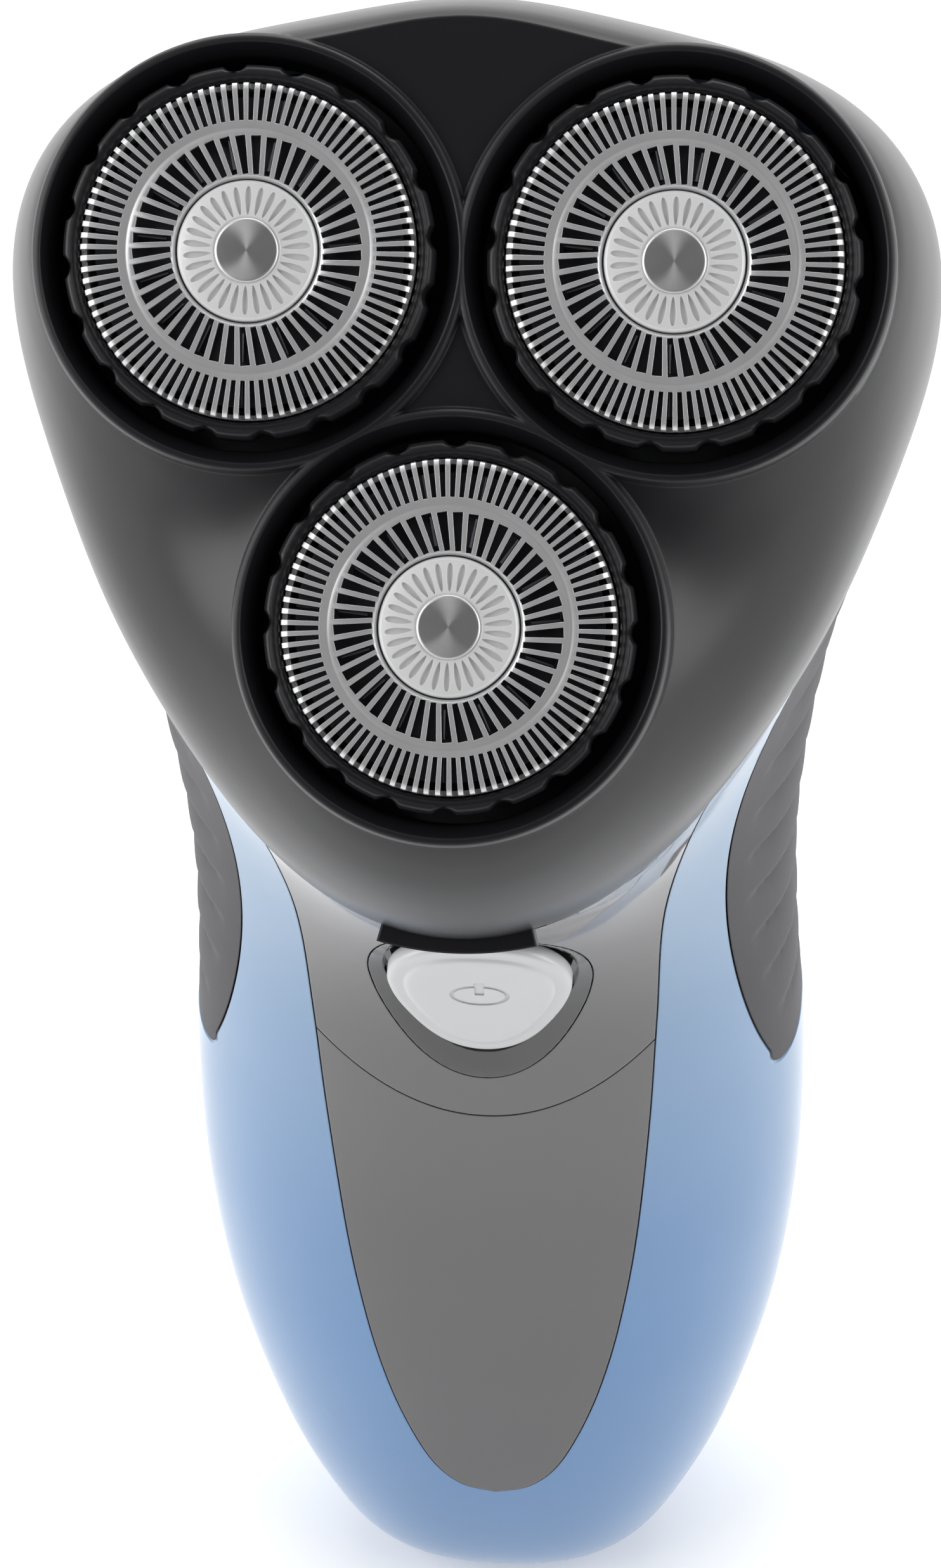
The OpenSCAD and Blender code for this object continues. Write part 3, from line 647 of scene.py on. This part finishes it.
def make_guard():
    """Steel guard with an outer and an inner ring of slots, parted by a plain ring."""
    t = 0.35
    prof = [(4.9, -0.75), (4.95, -0.35), (5.1, -0.08), (5.3, 0.0), (8.1, 0.0), (8.25, -0.05), (8.35, -0.06),
            (8.45, -0.05), (8.6, 0.0), (10.9, 0.0), (11.2, -0.06), (11.42, -0.25), (GUARD_R, -0.6),
            (GUARD_R, -3.9), (GUARD_R - t, -3.9), (GUARD_R - t, -0.7), (10.8, -t), (5.4, -t - 0.05),
            (5.2, -1.1), (4.9, -1.1)]
    guard = lathe("Guard", prof, 360)

    def slot(name, r0, r1, w0, w1, low, place):
        return prism(name, [(r0, -w0 / 2), (r1, -w1 / 2), (r1, w1 / 2), (r0, w0 / 2)], low, 2, place)
    outer, inner = [], []
    for k in range(OUTER_SLOTS):
        outer.append(slot(f"s{k}", 8.85, 13, 0.33, 0.52, -1.5, turn(360 * k / OUTER_SLOTS, "Z")))
    slant = move(6.5, 0, 0) @ turn(6, "Z") @ move(-6.5, 0, 0)
    for k in range(INNER_SLOTS):
        inner.append(slot(f"i{k}", 5.2, 7.85, 0.4, 0.72, -1.2, turn(360 * k / INNER_SLOTS, "Z") @ slant))
    return carve(guard, [("DIFFERENCE", merge("t_outer", outer)), ("DIFFERENCE", merge("t_inner", inner))])


def petal(name, place):
    """Teardrop hollow, wide at the rim of the cap."""
    p = np.linspace(0, 2 * np.pi, 20, endpoint=False)
    x = 3.4 + 0.98 * np.cos(p)
    y = 0.3 * np.sin(p) * (0.72 + 0.28 * np.cos(p))
    return prism(name, np.c_[x, y], -0.3, 1.0, place)


def make_cap():
    """Domed cap with a ring of petal-shaped hollows."""
    prof = [(0, -1.1), (4.84, -1.1), (4.84, -0.6), (4.78, -0.32), (4.6, -0.16), (3.9, -0.05), (2.6, 0.0),
            (2.35, 0.02), (2.22, -0.04), (0, -0.04)]
    cap = lathe("Guard_cap", prof, 240)
    petals = [petal(f"p{k}", turn(360 * k / PETALS, "Z")) for k in range(PETALS)]
    return carve(cap, [("DIFFERENCE", merge("t_petals", petals))])


def make_disc():
    prof = [(0, -0.03), (2.18, -0.03), (2.18, 0.14), (2.12, 0.2), (1.98, 0.22), (1.0, 0.24), (0.4, 0.25),
            (0, 0.25)]
    return lathe("Centre_disc", prof, 160)


def make_holder():
    """Black ring that holds the guard, with a notched outer edge."""
    def wave(r, z, p):
        if r < HOLDER_R - 0.5:
            return np.full(len(p), r)
        notch = np.clip(np.cos(NOTCHES * p) - 0.35, 0, 1) / 0.65
        return r - 0.42 * notch ** 0.7 * (1 if z < -1.0 else 0.6)
    prof = [(9.4, -4.6), (12.35, -4.6), (12.7, -4.35), (HOLDER_R, -4.0), (HOLDER_R, -1.6), (12.72, -1.15),
            (12.5, -0.85), (12.28, -0.8), (12.2, -0.95), (11.9, -0.95), (11.75, -1.1), (11.6, -1.5),
            (11.56, -3.9), (9.4, -3.9)]
    return lathe("Holder", prof, 480, wave=wave)


def make_cutter():
    """Rotary cutter: two rings of leaning blades on a disc, with a stem and a drive socket."""
    cutter = lathe("Cutter", [(0, -16), (2.2, -16), (2.2, -2.4), (10.6, -2.4), (10.6, -1.7), (0, -1.7)], 96)
    blades = []
    for k in range(BLADES):
        place = turn(360 * k / BLADES, "Z") @ move(0, 0, -1.15) @ turn(20, "X")
        blades.append(block(f"b{k}", (8.9, -0.2, -0.7), (10.5, 0.2, 0.66), place))
        blades.append(block(f"c{k}", (5.6, -0.2, -0.7), (7.6, 0.2, 0.66), place))
    socket = lathe("t_socket", [(0, -19), (3.7, -19), (3.7, -14.6), (0, -14.6)], 64)
    hollow = lathe("t_hollow", [(0, -21), (3, -21), (3, -15.2), (0, -15.2)], 64)
    return carve(cutter, [("UNION", merge("t_blades", blades)), ("UNION", socket), ("DIFFERENCE", hollow)])


guard0, cap0, disc0, holder0, cutter0 = make_guard(), make_cap(), make_disc(), make_holder(), make_cutter()
for i in range(3):
    for src, name, slot, body, node, look, angle in (
            (guard0, "Guard", "guard_steel", "tilt", "guard", "guard_steel", 32),
            (cap0, "Guard_cap", "guard_steel", "tilt", "guard_cap", "cap_steel", 28),
            (disc0, "Cap_disc", "guard_steel", "tilt", None, "disc_steel", 40),
            (holder0, "Holder", "head_black", "tilt", "holder", "head_black", 40),
            (cutter0, "Cutter", "cutter_steel", "cut", "cutter", "cutter_steel", 32)):
        ob = bpy.data.objects.new(f"{name}_{i + 1}", src.data.copy())
        bpy.context.scene.collection.objects.link(ob)
        ob.matrix_world = HEAD @ head_spot(i)
        dress(ob, slot, f"{body}_{i + 1}", *([f"{node}_{i + 1}"] if node else []), look=look, angle=angle)
for src in (guard0, cap0, disc0, holder0, cutter0):
    bpy.data.objects.remove(src)

# ---- hidden CAD nodes keep their shape and take a finish ----
slots = {s["node"]: s["material_slot"] for s in frame["record"]["subparts"]}
for node, ob in frame["nodes"].items():
    if not ob.hide_render:
        ob.data.materials.clear()
        ob.data.materials.append(MATERIALS[slots[node]])
        soften(ob, 30)

# ---- floor, light, camera ----
floor_mesh = bpy.data.meshes.new("Floor")
floor_mesh.from_pydata([(-3, -3, 0), (3, -3, 0), (3, 3, 0), (-3, 3, 0)], [], [(0, 1, 2, 3)])
floor = bpy.data.objects.new("Floor", floor_mesh)
bpy.context.scene.collection.objects.link(floor)
floor_white = material("floor_white", (0.93, 0.93, 0.93), 0.9, tone=0.005, tone_scale=3)
floor_white.node_tree.nodes["Principled BSDF"].inputs["Emission Color"].default_value = (1, 1, 1, 1)
floor_white.node_tree.nodes["Principled BSDF"].inputs["Emission Strength"].default_value = 0.2
floor.data.materials.append(floor_white)

scene = bpy.context.scene
scene.view_settings.view_transform = "Standard"
world = bpy.data.worlds.new("Studio")
scene.world = world
world.use_nodes = True
nt = world.node_tree
back = nt.nodes["Background"]
where = nt.nodes.new("ShaderNodeTexCoord")
towards = nt.nodes.new("ShaderNodeVectorMath")
towards.operation = "DOT_PRODUCT"
towards.inputs[1].default_value = (0.05, -0.68, 0.73)
ramp = nt.nodes.new("ShaderNodeValToRGB")
ramp.color_ramp.elements[0].position = 0.5
ramp.color_ramp.elements[0].color = (1.0, 1.0, 1.0, 1)
ramp.color_ramp.elements[1].position = 0.9
ramp.color_ramp.elements[1].color = (0.005, 0.005, 0.005, 1)
nt.links.new(where.outputs["Generated"], towards.inputs[0])
nt.links.new(towards.outputs["Value"], ramp.inputs["Fac"])
nt.links.new(ramp.outputs["Color"], back.inputs["Color"])
back.inputs["Strength"].default_value = 0.95


def area(name, at, aim, size, watts):
    data = bpy.data.lights.new(name, "AREA")
    data.shape, data.size, data.size_y, data.energy = "RECTANGLE", size[0], size[1], watts
    ob = bpy.data.objects.new(name, data)
    scene.collection.objects.link(ob)
    ob.location = at
    ob.rotation_euler = (Vector(aim) - Vector(at)).to_track_quat("-Z", "Y").to_euler()


area("Softbox_left", (-0.6, -0.25, 0.45), (0, 0, 0.08), (0.5, 0.7), 3)
area("Softbox_right", (0.6, -0.2, 0.4), (0, 0, 0.08), (0.4, 0.7), 2)
area("Top_back", (0.0, 0.5, 0.6), (0, 0, 0.1), (0.7, 0.4), 2.5)

CAMERA_AT = (24.3, -261.8, 375.7)
CAMERA_LOOK = (-0.066, 0.6708, -0.7387)
CAMERA_UP = (-0.0319, 0.7385, 0.6735)
CAMERA_LENS = 115.1
cam_data = bpy.data.cameras.new("Camera")
camera = bpy.data.objects.new("Camera", cam_data)
scene.collection.objects.link(camera)
scene.camera = camera
cam_data.lens = CAMERA_LENS
cam_data.sensor_width = 36
cam_data.sensor_fit = "AUTO"
cam_data.clip_start = 0.01
look = Vector(CAMERA_LOOK).normalized()
up = Vector(CAMERA_UP)
right = look.cross(up).normalized()
up = right.cross(look)
camera.matrix_world = move(*CAMERA_AT) @ Matrix((right, up, -look)).transposed().to_4x4()
